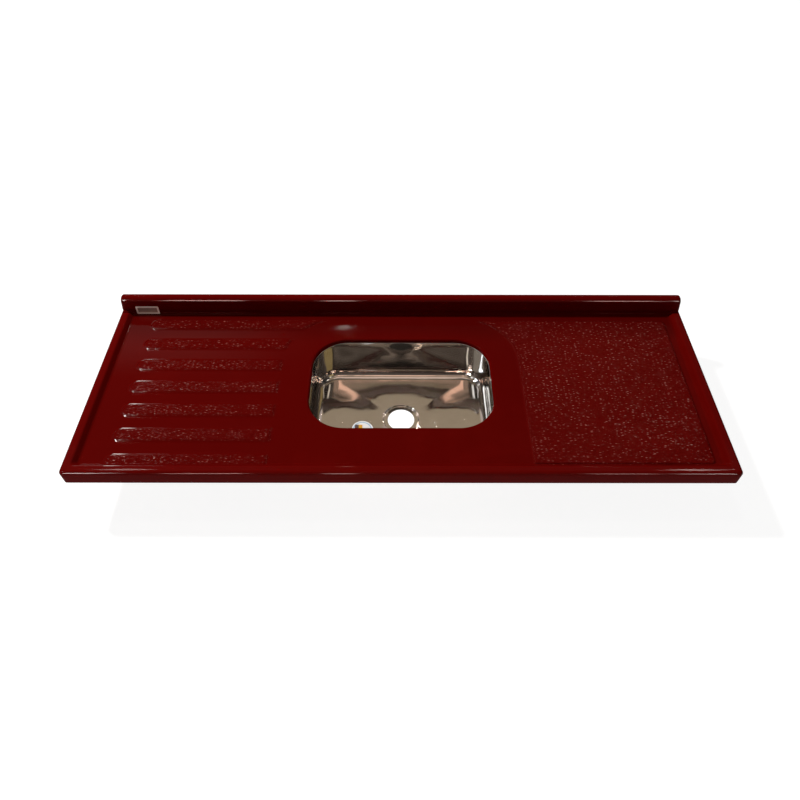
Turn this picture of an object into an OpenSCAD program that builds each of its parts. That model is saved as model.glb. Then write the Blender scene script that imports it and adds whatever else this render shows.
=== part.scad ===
// Kitchen sink top: one moulded worktop with raised rims, a rolled backsplash, hammered drainer
// pads and a hammered work panel, and a deep-drawn steel bowl hung under an opening in its deck.
// X runs along the worktop, Y from its front edge to its back, Z up from the underside of the bowl.

/* [Worktop] */
// Length of the worktop
top_w = 1500; // [1440:10:2000]
// Depth of the worktop, front edge to wall
top_d = 550; // [530:5:700]
// Thickness of the moulded deck
deck_t = 12; // [10:0.5:18]
// How far the skirt hangs below the underside of the deck
skirt_drop = 14; // [14:1:40]
// Thickness of the skirt wall
skirt_t = 16; // [12:1:20]

/* [Raised rim] */
// Height of the rim above the wet level
rim_rise = 12; // [9:0.5:18]
// Width of the rim, outer edge to the foot of its inner slope
rim_w = 31; // [29:1:40]
// Radius of the rim's outer edge
rim_edge_r = 8; // [4:0.5:9]
// Radius of the rim's inner shoulder
rim_shoulder_r = 7; // [4:0.5:9]
// Steepness of the rim's inner slope, in degrees
rim_slope = 50; // [40:1:65]
// Radius of the hollow where that slope meets the deck
rim_foot_r = 8; // [3:1:12]
// Radius of the two front corners, seen from above
front_r = 9; // [4:1:14]

/* [Backsplash] */
// Height of the backsplash above the wet level
splash_rise = 52; // [45:1:90]
// Thickness of the backsplash, which is also the width of its roll
splash_t = 28; // [22:1:34]
// Radius of the cove at its foot
cove_r = 7; // [4:1:14]
// Rounding at both ends of its roll
splash_end_r = 8; // [3:1:12]
// How far both ends lean in between the rim and the roll
splash_lean = 6; // [0:1:12]

/* [Wet area] */
// Width of the smooth area round the bowl
wet_w = 590; // [560:5:640]
// Distance from its rear edge to the wall
wet_back = 50; // [46:1:60]
// Radius of its rear corners
wet_r = 150; // [60:5:160]
// Width of the slope from it up to the pads and the panel
wet_edge = 8; // [2:1:12]

/* [Drainer pads] */
// Number of pads
pad_n = 7; // [3:1:7]
// Width of one pad
pad_w = 44; // [30:1:56]
// Distance between the middles of two pads
pad_pitch = 73; // [66:1:74]
// Height of a pad above the wet level
pad_rise = 3; // [2:0.25:5]
// Width of the rounded shoulder along a pad
pad_shoulder = 10; // [6:1:14]
// Distance from the front edge to the middle of the first pad
pad_first = 40; // [36:1:48]
// Distance from the left edge to the ends of the pads
pad_inset = 83; // [50:1:140]

/* [Work panel] */
// Height of the hammered panel above the wet level
panel_rise = 3.5; // [2:0.25:6]
// Distance from the right edge to the panel
panel_side = 46; // [40:1:90]
// Distance from the front edge to the panel
panel_front = 30; // [29:1:60]
// Distance from the wall to the panel
panel_back = 55; // [50:1:80]
// Radius of the panel's corners
panel_r = 14; // [8:1:30]
// Width of the slope round the panel
panel_edge = 6; // [2:0.5:7]

/* [Bowl] */
// Inside length of the bowl at its flange
bowl_w = 460; // [420:5:500]
// Inside depth of the bowl at its flange, front to back
bowl_d = 300; // [290:5:320]
// Distance from the flange down to the floor at the foot of the walls
bowl_depth = 124.5; // [100:0.5:200]
// Radius of the upright corners
bowl_corner_r = 63; // [50:1:90]
// Radius between wall and floor
bowl_foot_r = 25; // [12:1:32]
// Radius between wall and flange
bowl_mouth_r = 4; // [2:0.5:6]
// How much narrower each wall gets on its way down
bowl_draft = 2; // [0.5:0.5:6]
// Thickness of the steel sheet
sheet_t = 0.8; // [0.6:0.1:1.5]
// Width of the flange
flange_w = 20; // [16:1:24]
// How far the middle of the bowl lies behind the middle of the worktop
bowl_back = 4.5; // [0:0.5:8]

/* [Waste seat] */
// Diameter of the waste hole
drain_d = 70; // [50:1:86]
// Diameter of the pressed seat round the hole
seat_d = 97; // [94:1:115]
// Depth of the pressed seat
seat_depth = 4; // [2:0.5:8]
// How far the dished floor falls from the foot of the walls to the seat
fall_h = 12; // [3:0.5:16]

/* [Deck opening] */
// How far the deck reaches in over the mouth of the bowl
overhang = 7; // [5:0.5:12]
// Radius of the opening's corners
cut_r = 88; // [60:1:110]
// Radius of the opening's upper edge
lip_r = 5; // [2:0.5:7]

/* [Bowl fixings] */
// Thickness of the sealing compound between flange and deck
seal_t = 1.5; // [1:0.5:3]
// Distance from the edge of the flange to the sealing compound
seal_inset = 1; // [0.5:0.5:3]
// Thickness of a clip
clip_t = 1.5; // [1:0.1:2]
// Width of a clip
clip_w = 18; // [14:1:30]
// How far a clip reaches under the flange
clip_grip = 8; // [5:0.5:12]
// Distance from the screw to the edge of the flange
clip_reach = 11; // [9:0.5:14]
// Play between a clip's knee and the edge of the flange
clip_play = 1; // [0.5:0.25:2]
// Diameter of the screw's thread
screw_d = 5; // [4:0.5:6]
// Diameter of the screw's head
screw_head_d = 9; // [8:0.5:12]
// Height of the screw's head
screw_head_h = 3; // [2:0.5:4]
// Diameter of the threaded insert in the deck
insert_d = 8; // [7:0.5:9]
// Depth of the insert's pocket
insert_h = 8; // [6:0.5:9]
// Space left over the screw's tip in its insert
screw_tip = 1; // [0.5:0.25:2]
// Play between screw and insert, and between insert and pocket, on the radius
fit = 0.05; // [0.02:0.01:0.1]

/* [Battens] */
// Width of a batten
batten_w = 30; // [20:1:34]
// Thickness of a batten
batten_t = 12; // [8:1:14]
// Distance from the skirt wall to a batten
batten_gap = 4; // [0:1:8]
// Distance from the clips to the battens beside the bowl
batten_clear = 16; // [4:1:40]

/* [Hidden] */

// Levels, from the underside of the waste seat up
floor_z = sheet_t + seat_depth + fall_h;
flange_z = floor_z + bowl_depth;
under_z = flange_z + seal_t;
wet_z = under_z + deck_t;
skirt_z = under_z - skirt_drop;
rim_z = wet_z + rim_rise;
splash_z = wet_z + splash_rise;

// Places in plan
left_x = -top_w / 2;
right_x = top_w / 2;
front_y = -top_d / 2;
back_y = top_d / 2;
roll_r = splash_t / 2;

// Sizes that follow from others
cut_w = bowl_w - 2 * overhang;
cut_d = bowl_d - 2 * overhang;
rim_foot = rim_w + rim_foot_r * tan(rim_slope / 2);
raised_h = max(pad_rise, panel_rise);
foot_in = bowl_draft + bowl_foot_r;
screw_len = insert_h - screw_tip + clip_t;
clip_end = flange_w + clip_reach + clip_w / 2;

// How far parts of one casting or sheet run into each other, and tools past what they cut
lap = 1;
eps = 1;
round_fn = 96;

// Directions and rings in which the dished floor of the bowl is lofted
dish_rays = 72;
dish_rings = 4;
// How much steeper than its mean slope that floor starts, as a share
dish_start = 0.25;

red = [0.42, 0.02, 0.03];
steel = [0.78, 0.78, 0.76];
zinc = [0.66, 0.67, 0.68];
brass_tone = [0.76, 0.62, 0.30];
timber = [0.72, 0.56, 0.38];
sealant = [0.85, 0.84, 0.80];

// Points of a round stretch from angle a0 to angle a1
function arc(centre, r, a0, a1, steps = 8) =
    [for (i = [0:steps]) let (a = a0 + (a1 - a0) * i / steps) centre + r * [cos(a), sin(a)]];

// Points mirrored about the vertical axis, in reverse order
function mirrored(points) = [for (i = [len(points) - 1:-1:0]) [-points[i][0], points[i][1]]];

// A length of one section along X, its section drawn with y across and z up
module run_x(x0, x1) {
    translate([x0, 0, 0]) rotate([90, 0, 90]) linear_extrude(x1 - x0) children();
}

// Sweeps one section round a rounded rectangle. The section's x is the distance outside the
// outline and its y is the height, and each corner is a quarter turn about its own centre.
module swept_round(w, d, r) {
    for (k = [0:3]) {
        sx = (k == 0 || k == 3) ? 1 : -1;
        sy = k < 2 ? 1 : -1;
        translate([sx * (w / 2 - r), sy * (d / 2 - r), 0])
            rotate([0, 0, 90 * k])
                rotate_extrude(angle = 90, $fn = round_fn) translate([r, 0]) children();
    }
    for (k = [0:3]) {
        along = (k % 2 == 0) ? d - 2 * r : w - 2 * r;
        out = (k % 2 == 0) ? w / 2 : d / 2;
        rotate([0, 0, 90 * k])
            translate([out, along / 2, 0])
                rotate([90, 0, 0]) linear_extrude(along) children();
    }
}

module rounded_plate(w, d, r) {
    square([w - 2 * r, d], center = true);
    square([w, d - 2 * r], center = true);
    for (sx = [-1, 1], sy = [-1, 1])
        translate([sx * (w / 2 - r), sy * (d / 2 - r)]) circle(r, $fn = round_fn);
}

// Tool that clears the smooth area round the bowl and slopes outwards round it. Its front end
// lies ahead of the worktop.
module wet_clearance() {
    d = top_d + 2 * wet_r;
    top = wet_z + raised_h + eps;
    tilt = wet_edge / panel_rise;
    translate([0, back_y - wet_back - d / 2, 0]) {
        translate([0, 0, wet_z - eps]) linear_extrude(top - wet_z + eps)
            rounded_plate(wet_w - 2 * wet_edge, d - 2 * wet_edge, wet_r - wet_edge);
        swept_round(wet_w, d, wet_r)
            polygon([[-wet_r / 2, wet_z - eps], [-tilt * eps, wet_z - eps],
                     [tilt * (top - wet_z), top], [-wet_r / 2, top]]);
    }
}

// Section of the raised rim with its part of the skirt and deck, x inwards from the outer edge.
// Its inner slope runs out in a hollow that ends level with the deck.
module rim_section() {
    drop = rim_rise - rim_shoulder_r * (1 - cos(rim_slope));
    shoulder_x = rim_w - drop / tan(rim_slope) - rim_shoulder_r * sin(rim_slope);
    polygon(concat([[skirt_t, skirt_z], [0, skirt_z]],
                   arc([rim_edge_r, rim_z - rim_edge_r], rim_edge_r, 180, 90),
                   arc([shoulder_x, rim_z - rim_shoulder_r], rim_shoulder_r, 90, 90 - rim_slope),
                   arc([rim_foot, wet_z + rim_foot_r], rim_foot_r, -90 - rim_slope, -90, 5),
                   [[rim_foot, under_z], [skirt_t, under_z]]));
}

// One straight rim, mitred at its first end and, if asked, at its second
module rim_run(length, both) {
    far = both ? length - rim_foot : length;
    intersection() {
        rotate([90, 0, 90]) linear_extrude(length) rim_section();
        translate([0, 0, skirt_z - eps])
            linear_extrude(rim_z - skirt_z + 2 * eps)
                polygon([[0, 0], [length, 0], [far, rim_foot], [rim_foot, rim_foot]]);
    }
}

module rims() {
    translate([left_x, front_y, 0]) rim_run(top_w, true);
    for (side = [0, 1])
        mirror([side, 0, 0])
            translate([right_x, front_y, 0]) mirror([1, 0, 0])
                rotate([0, 0, 90]) mirror([0, 1, 0]) rim_run(top_d, false);
}

// Section of the backsplash, x forwards from the wall: upright, full roll on top, cove at its foot
module splash_section() {
    polygon(concat([[skirt_t, skirt_z], [0, skirt_z]],
                   arc([roll_r, splash_z - roll_r], roll_r, 180, 0, 20),
                   arc([splash_t + cove_r, wet_z + cove_r], cove_r, 180, 270),
                   [[splash_t + cove_r, under_z], [skirt_t, under_z]]));
}

// Right half of the backsplash seen from the front: its end leans in and rounds into the roll
function splash_half() = concat(
    [[0, skirt_z - eps], [right_x, skirt_z - eps], [right_x, rim_z - rim_edge_r]],
    arc([right_x - splash_lean - splash_end_r, splash_z - splash_end_r], splash_end_r, 0, 90));

module backsplash() {
    intersection() {
        run_x(left_x, right_x) translate([back_y, 0]) mirror([1, 0]) splash_section();
        translate([0, back_y + eps, 0]) rotate([90, 0, 0])
            linear_extrude(splash_t + cove_r + 2 * eps)
                polygon(concat(splash_half(), mirrored(splash_half())));
    }
}

// Half of a pad's section, from its middle to the foot of its shoulder, hollow below and round
// above
function pad_half() = concat([[0, 0], [pad_w / 2, 0]],
    [for (i = [1:6]) let (t = i / 6)
        [pad_w / 2 - pad_shoulder * t, pad_rise * t * t * (3 - 2 * t)]],
    [[0, pad_rise]]);

// One drainer pad with a round left end, running right into the smooth area
module pad() {
    start = left_x + pad_inset + pad_w / 2;
    translate([start, 0, wet_z]) {
        rotate([0, 0, 90]) rotate_extrude(angle = 180, $fn = round_fn) polygon(pad_half());
        run_x(0, -wet_w / 4 - start)
            polygon(concat(pad_half(), mirrored(pad_half())));
    }
}

module drainer_pads() {
    difference() {
        for (i = [0:pad_n - 1])
            translate([0, front_y + pad_first + i * pad_pitch, 0]) pad();
        wet_clearance();
    }
}

// Raised panel on the right with sloping sides, its left edge along the smooth area
module work_panel() {
    x0 = wet_w / 2 - wet_r - 2 * panel_r;
    w = right_x - panel_side - x0;
    d = top_d - panel_front - panel_back;
    flat = 2 * panel_edge;
    difference() {
        translate([x0 + w / 2, front_y + panel_front + d / 2, wet_z]) {
            linear_extrude(panel_rise) rounded_plate(w - flat, d - flat, panel_r - panel_edge);
            swept_round(w - flat, d - flat, panel_r - panel_edge)
                polygon([[-lap, 0], [panel_edge, 0], [0, panel_rise], [-lap, panel_rise]]);
        }
        wet_clearance();
    }
}

// Tool that rounds the two front corners
module corner_cutters() {
    for (side = [0, 1]) mirror([side, 0, 0])
        translate([right_x - front_r, front_y + front_r, skirt_z - eps])
            linear_extrude(rim_z - skirt_z + 2 * eps) difference() {
                translate([0, -front_r - eps]) square([front_r + eps, front_r + eps]);
                circle(front_r, $fn = round_fn);
            }
}

// Tool for the opening in the deck, with a rounded upper edge that flares outwards
module deck_opening() {
    translate([0, bowl_back, 0]) {
        translate([0, 0, under_z - eps]) linear_extrude(deck_t + 2 * eps)
            rounded_plate(cut_w, cut_d, cut_r);
        swept_round(cut_w, cut_d, cut_r)
            polygon(concat([[-eps, wet_z - lip_r]],
                           arc([lip_r, wet_z - lip_r], lip_r, 180, 90),
                           [[lip_r, wet_z + eps], [-eps, wet_z + eps]]));
    }
}

// Puts a copy at each screw, with its own +X pointing at the bowl
module at_clips() {
    across = bowl_w / 2 + flange_w + clip_reach;
    away = bowl_d / 2 + flange_w + clip_reach;
    step = bowl_w / 4;
    for (side = [-1, 1]) {
        translate([side * across, bowl_back, 0]) rotate([0, 0, side > 0 ? 180 : 0]) children();
        for (x = [-step, step])
            translate([x, bowl_back + side * away, 0]) rotate([0, 0, -90 * side]) children();
    }
}

module worktop() {
    color(red) difference() {
        union() {
            rims();
            translate([left_x + rim_foot - lap, front_y + rim_foot - lap, under_z])
                cube([top_w - 2 * (rim_foot - lap), top_d - rim_foot - splash_t - cove_r + 2 * lap,
                      deck_t]);
            backsplash();
            drainer_pads();
            work_panel();
        }
        deck_opening();
        corner_cutters();
        at_clips() translate([0, 0, under_z - eps])
            cylinder(d = insert_d + 2 * fit, h = insert_h + eps, $fn = 32);
    }
}

// Drawn wall of the bowl, one sheet thick: flange, mouth radius, drafted wall, foot radius and
// the edge of the floor
module bowl_wall_section() {
    mouth = bowl_mouth_r;
    top = flange_z;
    foot = [-foot_in, floor_z + bowl_foot_r];
    edge = -foot_in - 2 * lap;
    polygon(concat([[flange_w, top]],
                   arc([mouth, top - mouth], mouth, 90, 180),
                   arc(foot, bowl_foot_r, 0, -90, 12),
                   [[edge, floor_z], [edge, floor_z - sheet_t]],
                   arc(foot, bowl_foot_r + sheet_t, -90, 0, 12),
                   arc([mouth, top - mouth], mouth - sheet_t, 180, 90),
                   [[flange_w, top - sheet_t]]));
}

// Distance from the middle of a rounded rectangle to its outline, in direction a
function reach(a, w, d, r) =
    let (u = [abs(cos(a)), abs(sin(a))], c = [w / 2 - r, d / 2 - r], along = u * c)
    u[1] * w / 2 < u[0] * c[1] ? w / 2 / u[0]
    : u[0] * d / 2 < u[1] * c[0] ? d / 2 / u[1]
    : along + sqrt(along * along - c * c + r * r);

// One ring of the dished floor: share 0 runs along the foot of the walls, share 1 round the seat
function dish_ring(share, drop) =
    let (inset = foot_in + lap,
         z = floor_z - drop - fall_h * share * (1 + dish_start * (1 - share)))
    [for (k = [0:dish_rays - 1])
        let (a = 360 * k / dish_rays,
             outer = reach(a, bowl_w - 2 * inset, bowl_d - 2 * inset, bowl_corner_r - inset),
             r = (1 - share) * outer + share * (seat_d / 2 + lap))
        [r * cos(a), r * sin(a), z]];

// Dished floor of the bowl, lofted from the foot of the walls to the seat, one sheet thick
module bowl_dish() {
    rings = concat([for (i = [0:dish_rings]) dish_ring(i / dish_rings, 0)],
                   [for (i = [dish_rings:-1:0]) dish_ring(i / dish_rings, sheet_t)]);
    last = len(rings) - 1;
    polyhedron([for (ring = rings) each ring],
               [for (i = [0:last], k = [0:dish_rays - 1])
                   let (a = i * dish_rays, b = (i == last ? 0 : i + 1) * dish_rays,
                        n = (k + 1) % dish_rays)
                   each [[a + k, b + n, a + n], [a + k, b + k, b + n]]]);
}

// Pressed seat for the waste, with its hole
module waste_seat() {
    seat = seat_d / 2;
    ease = seat_depth / 2;
    rotate_extrude($fn = round_fn)
        polygon([[drain_d / 2, 0], [seat - ease, 0], [seat, seat_depth],
                 [seat + 2 * lap, seat_depth], [seat + 2 * lap, seat_depth + sheet_t],
                 [seat, seat_depth + sheet_t], [seat - ease, sheet_t], [drain_d / 2, sheet_t]]);
}

module bowl() {
    color(steel) translate([0, bowl_back, 0]) {
        swept_round(bowl_w, bowl_d, bowl_corner_r) bowl_wall_section();
        bowl_dish();
        waste_seat();
    }
}

// Ring of sealing compound on the flange
module flange_seal() {
    color(sealant) translate([0, bowl_back, flange_z])
        swept_round(bowl_w, bowl_d, bowl_corner_r)
            translate([bowl_mouth_r, 0]) square([flange_w - bowl_mouth_r - seal_inset, seal_t]);
}

// Cranked clip: one leg flat against the deck, the other under the flange
module bowl_clips() {
    grip_z = flange_z - sheet_t - clip_t;
    knee = clip_reach - clip_play;
    color(zinc) at_clips() difference() {
        translate([0, clip_w / 2, 0]) rotate([90, 0, 0]) linear_extrude(clip_w)
            polygon([[-clip_w / 2, under_z], [-clip_w / 2, under_z - clip_t],
                     [knee - clip_t, under_z - clip_t], [knee - clip_t, grip_z],
                     [clip_reach + clip_grip, grip_z], [clip_reach + clip_grip, grip_z + clip_t],
                     [knee, grip_z + clip_t], [knee, under_z]]);
        translate([0, 0, under_z - clip_t - eps])
            cylinder(d = screw_d + 4 * fit, h = clip_t + 2 * eps, $fn = 32);
    }
}

module clip_screws() {
    color(zinc) at_clips() translate([0, 0, under_z - clip_t]) {
        cylinder(d = screw_d, h = screw_len, $fn = 32);
        translate([0, 0, -screw_head_h]) cylinder(d = screw_head_d, h = screw_head_h, $fn = 32);
    }
}

// Threaded inserts, each flush with the underside of the deck
module screw_inserts() {
    color(brass_tone) at_clips() translate([0, 0, under_z]) difference() {
        cylinder(d = insert_d, h = insert_h, $fn = 32);
        translate([0, 0, -eps])
            cylinder(d = screw_d + 2 * fit, h = insert_h + 2 * eps, $fn = 32);
    }
}

// A batten from one corner to the opposite one, bonded to the underside of the deck
module batten(x0, y0, x1, y1) {
    color(timber) translate([x0, y0, under_z - batten_t]) cube([x1 - x0, y1 - y0, batten_t]);
}

batten_x = right_x - skirt_t - batten_gap;
batten_front = front_y + skirt_t + batten_gap;
batten_rear = back_y - skirt_t - batten_gap;
batten_beside = bowl_w / 2 + clip_end + batten_clear;

module long_batten(y0) {
    batten(-batten_x, y0, batten_x, y0 + batten_w);
}

module cross_batten(x0) {
    batten(x0, batten_front + batten_w, x0 + batten_w, batten_rear - batten_w);
}

module front_batten() { long_batten(batten_front); }
module rear_batten() { long_batten(batten_rear - batten_w); }
module left_end_batten() { cross_batten(-batten_x); }
module right_end_batten() { cross_batten(batten_x - batten_w); }
module left_bowl_batten() { cross_batten(-batten_beside - batten_w); }
module right_bowl_batten() { cross_batten(batten_beside); }

worktop();
bowl();
flange_seal();
bowl_clips();
clip_screws();
screw_inserts();
front_batten();
rear_batten();
left_end_batten();
right_end_batten();
left_bowl_batten();
right_bowl_batten();
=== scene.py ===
import math

import bmesh
import bpy
import numpy as np
from mathutils import Matrix, Vector, noise


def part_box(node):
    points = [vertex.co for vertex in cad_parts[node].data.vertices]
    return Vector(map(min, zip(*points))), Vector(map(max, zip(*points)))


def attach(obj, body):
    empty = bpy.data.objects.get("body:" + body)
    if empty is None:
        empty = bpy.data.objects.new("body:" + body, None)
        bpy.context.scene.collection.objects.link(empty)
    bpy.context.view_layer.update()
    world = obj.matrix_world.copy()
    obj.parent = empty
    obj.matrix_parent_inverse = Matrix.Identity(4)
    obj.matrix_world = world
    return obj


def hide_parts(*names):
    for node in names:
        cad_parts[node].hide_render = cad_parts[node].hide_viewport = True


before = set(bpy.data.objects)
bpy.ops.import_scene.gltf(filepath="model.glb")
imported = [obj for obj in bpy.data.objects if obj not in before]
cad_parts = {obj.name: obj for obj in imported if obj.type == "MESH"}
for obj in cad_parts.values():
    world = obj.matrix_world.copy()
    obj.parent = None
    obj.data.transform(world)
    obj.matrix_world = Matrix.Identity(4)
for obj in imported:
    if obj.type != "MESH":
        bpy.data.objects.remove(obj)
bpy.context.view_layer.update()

MM = 0.001

# Camera. It stands in front of the worktop, a little over a metre above the deck, and looks
# down at the bowl. Its place and angles come from a fit of the worktop's outline.
photo_side = 800
focal_in_pixels = 653.8
sensor = 36.0
camera_place = (-0.0072, -1.0649, 1.3615)
heading, tilt_down, lean = (math.radians(angle) for angle in (-0.236, 50.11, 0.249))
camera = bpy.data.objects.new("photo_camera", bpy.data.cameras.new("photo_camera"))
camera.data.sensor_width = sensor
camera.data.lens = focal_in_pixels / photo_side * sensor
camera.data.clip_end = 50
camera.matrix_world = (
    Matrix.Translation(camera_place)
    @ Matrix.Rotation(heading, 4, "Z")
    @ Matrix.Rotation(math.radians(90) - tilt_down, 4, "X")
    @ Matrix.Rotation(lean, 4, "Z")
)
bpy.context.scene.collection.objects.link(camera)
bpy.context.scene.camera = camera
bpy.context.scene.view_settings.view_transform = "Standard"


# Floor. A pale, even studio floor that the sink stands on while it is photographed. The camera
# sees it nearly white with the sink's shadow on it, and mirrors see a painted shadow on it, dark
# close to the bowl.
class Signal:
    """A shader socket that carries numbers. Arithmetic on signals adds Math nodes."""

    def __init__(self, finish, socket):
        self.finish, self.socket = finish, socket

    def __add__(self, other):
        return self.finish.math("ADD", self, other)

    def __sub__(self, other):
        return self.finish.math("SUBTRACT", self, other)

    def __rsub__(self, other):
        return self.finish.math("SUBTRACT", other, self)

    def __mul__(self, other):
        return self.finish.math("MULTIPLY", self, other)

    def __pow__(self, other):
        return self.finish.math("POWER", self, other)

    __radd__, __rmul__ = __add__, __mul__

    def sine(self):
        return self.finish.math("SINE", self)

    def larger(self, other):
        return self.finish.math("MAXIMUM", self, other)

    def ramp(self, low, high, at_low=0.0, at_high=1.0):
        """Rises smoothly from at_low to at_high while this signal goes from low to high."""
        inputs = {"Value": self, "From Min": low, "From Max": high,
                  "To Min": at_low, "To Max": at_high}
        return self.finish.node("ShaderNodeMapRange", {"interpolation_type": "SMOOTHSTEP"}, inputs)

    def between(self, low, high, soft):
        """1 from low to high, fading to 0 over a soft margin on both sides."""
        return self.ramp(low - soft, low) * (1 - self.ramp(high, high + soft))


class Finish:
    """One node tree, with the one method that adds a node to it."""

    def __init__(self, owner):
        owner.use_nodes = True
        owner.node_tree.nodes.clear()
        self.owner, self.tree = owner, owner.node_tree

    def node(self, kind, settings=None, inputs=None, output=0):
        made = self.tree.nodes.new(kind)
        for name, value in (settings or {}).items():
            setattr(made, name, value)
        for name, value in (inputs or {}).items():
            if isinstance(value, Signal):
                self.tree.links.new(value.socket, made.inputs[name])
            else:
                made.inputs[name].default_value = value
        return Signal(self, made.outputs[output]) if made.outputs else None

    def math(self, operation, *values):
        return self.node("ShaderNodeMath", {"operation": operation}, dict(enumerate(values)))

    def blend(self, mask, low, high):
        """One colour where the mask is 0, the other where it is 1."""
        return self.node("ShaderNodeMix", {"data_type": "RGBA"}, {0: mask, 6: low, 7: high}, 2)

    def place(self):
        """Where each point lies, along the sink's own axes."""
        return self.node("ShaderNodeTexCoord", output="Object")

    def axes(self, vector):
        """The three parts of a vector."""
        split = self.node("ShaderNodeSeparateXYZ", inputs={0: vector}).socket.node
        return [Signal(self, part) for part in split.outputs]

    def mask(self, name):
        """A mask from 0 to 1 that the mesh carries."""
        return self.node("ShaderNodeAttribute", {"attribute_name": name}, output="Fac")

    def grain(self, scale, detail=3.0, roughness=0.5, where=None, distortion=0.0):
        """Soft noise from 0 to 1."""
        inputs = {"Vector": where or self.place(), "Scale": scale, "Detail": detail,
                  "Roughness": roughness, "Distortion": distortion}
        return self.node("ShaderNodeTexNoise", inputs=inputs)

    def relief(self, height):
        """The normal of a surface that stands out by this height, in metres."""
        return self.node("ShaderNodeBump", inputs={"Height": height, "Distance": 1.0})

    def shader(self, **inputs):
        """One Principled shader. Underscores stand for spaces."""
        named = {name.replace("_", " "): value for name, value in inputs.items()}
        return self.node("ShaderNodeBsdfPrincipled", inputs=named)

    def surface(self, **inputs):
        """Ends the tree in one Principled shader."""
        self.node("ShaderNodeOutputMaterial", inputs={"Surface": self.shader(**inputs)})
        return self.owner


def paint(red, green, blue):
    """A colour as it is seen, written 0 to 255, as the shader's linear one."""
    seen = [v / 255 for v in (red, green, blue)]
    return [v / 12.92 if v <= 0.04045 else ((v + 0.055) / 1.055) ** 2.4 for v in seen] + [1.0]


floor_reach = 14.0
floor_drop = 0.5 * MM
floor_glow = 0.88
shadow_core, shadow_edge = 0.15, 0.4


def seen_directly(finish):
    """1 for camera, mirror and glass rays, 0 for the rays that light the sink."""
    seen = [finish.node("ShaderNodeLightPath", output=name)
            for name in ("Is Camera Ray", "Is Glossy Ray", "Is Transmission Ray")]
    return finish.node("ShaderNodeMath", {"operation": "ADD", "use_clamp": True},
                       {0: seen[0] + seen[1], 1: seen[2]})


def floor_finish():
    """A grey that glows up to nearly white as it is seen, with a painted shadow for mirrors near
    the middle, and is clear from below.
    """
    finish = Finish(bpy.data.materials.new("studio_floor"))
    seen = seen_directly(finish)
    from_middle = finish.node("ShaderNodeVectorMath", {"operation": "LENGTH"},
                              {0: finish.place()}, "Value")
    in_mirrors = finish.node("ShaderNodeLightPath", output="Is Glossy Ray")
    # Painted shadow: mirror rays see the floor dark near the middle, under the sink
    painted_shadow = from_middle.ramp(shadow_core, shadow_edge, 1.0, 0.0) * in_mirrors
    tone = finish.blend(finish.grain(9.0), paint(228, 228, 227), paint(236, 236, 235))
    tone = finish.blend(seen, tone, paint(148, 148, 148))
    tone = finish.blend(painted_shadow, tone, paint(36, 34, 32))
    lit = finish.node("ShaderNodeBsdfDiffuse", inputs={"Color": tone})
    glow_tone = finish.blend(painted_shadow, paint(255, 255, 255), paint(26, 24, 22))
    glow = finish.node("ShaderNodeEmission",
                       inputs={"Color": glow_tone, "Strength": seen * floor_glow})
    above = finish.node("ShaderNodeAddShader", inputs={0: lit, 1: glow})
    clear = finish.node("ShaderNodeBsdfTransparent")
    below = finish.node("ShaderNodeNewGeometry", output="Backfacing")
    whole = finish.node("ShaderNodeMixShader", inputs={0: below, 1: above, 2: clear})
    finish.node("ShaderNodeOutputMaterial", inputs={"Surface": whole})
    return finish.owner


def new_piece(name, corners, faces, finish):
    """A mesh object from its corners and faces, with one finish."""
    mesh = bpy.data.meshes.new(name)
    mesh.from_pydata(corners, [], faces)
    mesh.materials.append(finish)
    piece = bpy.data.objects.new(name, mesh)
    bpy.context.scene.collection.objects.link(piece)
    return piece


floor = new_piece(
    "studio_floor",
    [(x * floor_reach / 2, y * floor_reach / 2, -floor_drop)
     for x, y in ((-1, -1), (1, -1), (1, 1), (-1, 1))],
    [(0, 1, 2, 3)],
    floor_finish(),
)


# Studio. Steel and gelcoat mirror a dark room with a warm ceiling and windows, which the camera
# itself sees as plain white. The light comes from a key lamp high on the left behind the sink, a
# small lamp overhead, a low fill in front of the skirt and a little even light from all round.
ambient_light = 0.19

# Each window: azimuth from and to, seen from the sink with 0 behind it and the right positive,
# elevation from and to, soft margin, all in degrees, then its colour and brightness
windows = (
    # Behind the sink: two broad, dim panes, and small bright ones that make the glints
    (-62, 62, 36, 60, 4, (204, 190, 184), 1.0),
    (-16, 16, 48, 68, 4, (172, 156, 136), 1.0),
    (-89.8, -83, 54, 60, 1, (255, 250, 244), 160.0),
    (-43, -37.5, 52.2, 55, 0.5, (255, 236, 230), 50.0),
    (39.5, 45, 50.7, 54, 0.5, (255, 236, 230), 60.0),
    (-27, -21.5, 10, 22, 1, (255, 250, 244), 12.0),
    (-7.0, -6.2, 42.6, 42.8, 0.6, (255, 236, 226), 850.0),
    (21.5, 25, 41.3, 43, 0.6, (255, 236, 226), 90.0),
    # In front of it, for the bowl's rear wall and for the front edge
    (150, 210, 55, 66, 3, (196, 168, 152), 1.0),
    (174, 186, 58.5, 62.5, 1.5, (255, 208, 188), 1.9),
    (197, 201, 34, 46, 1.2, (255, 250, 244), 1.8),
    (194.4, 199.5, 9, 21, 1.2, (255, 206, 198), 20.0),
    (184.3, 186.2, 9, 21, 0.8, (255, 214, 206), 20.0),
    (158.3, 162.5, 9, 21, 1.2, (255, 206, 198), 14.0),
    (150, 155.5, 9, 21, 1.0, (255, 236, 230), 20.0),
    (206, 217, 9, 30, 1.0, (255, 240, 236), 26.0),
    # On the right and then on the left, for the bowl's other walls
    (128, 150, 28, 44, 3, (176, 156, 112), 1.0),
    (88, 98, 54, 62, 1.5, (255, 250, 244), 2.0),
    (122, 130, 47, 55, 1.5, (255, 246, 236), 1.4),
    (226, 246, 32, 44, 4, (176, 170, 164), 1.0),
    (233, 243, 47, 56, 1.5, (236, 240, 248), 2.2),
    (252, 268, 34, 42, 1.5, (222, 232, 248), 7.0),
)


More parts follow.
